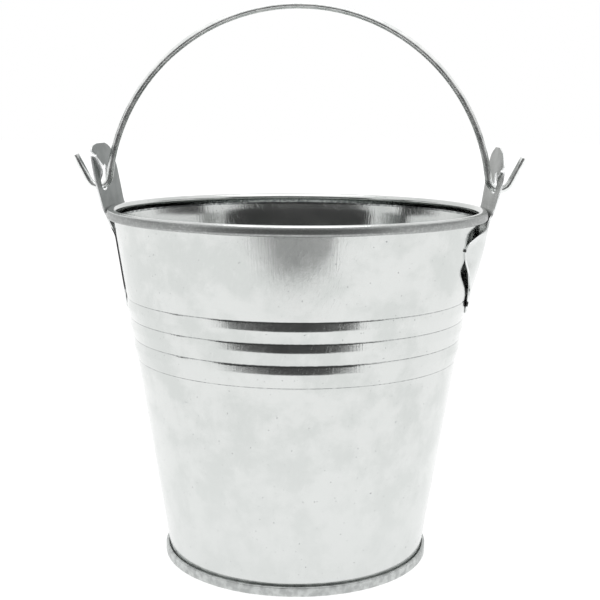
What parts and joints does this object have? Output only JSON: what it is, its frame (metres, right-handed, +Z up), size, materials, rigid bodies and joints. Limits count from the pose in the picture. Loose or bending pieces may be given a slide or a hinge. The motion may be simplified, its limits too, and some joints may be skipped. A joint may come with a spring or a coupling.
{
  "type": "florist bucket",
  "caption": "Small tapered galvanised pail with rolled rim, ribbed wall, seamed foot, welded ears and a swinging wire handle.",
  "frame": {"origin": "centre of the circle that the foot ring stands on", "axes": "+Z up along the pail's axis, ears and handle hinge line on X, slots of the ears open towards -Y"},
  "size_m": [0.1316, 0.11, 0.1616],
  "materials": {
    "wall_steel": "bright galvanised, half-mirror, faint mottling",
    "bottom_steel": "bright galvanised, slightly rough",
    "ear_steel": "dull grey zinc",
    "wire_steel": "bright drawn galvanised wire"
  },
  "bodies": {
    "pail": {"body_wall": "wall_steel", "bottom_pan": "bottom_steel", "ear_left": "ear_steel", "ear_right": "ear_steel"},
    "bail": {"bail_handle": "wire_steel"}
  },
  "joints": [
    {"name": "bail_swing", "type": "hinge", "parent": "pail", "child": "bail", "pos_m": [0, 0, 0.109], "axis": [1, 0, 0], "range_deg": [-96, 96]}
  ]
}
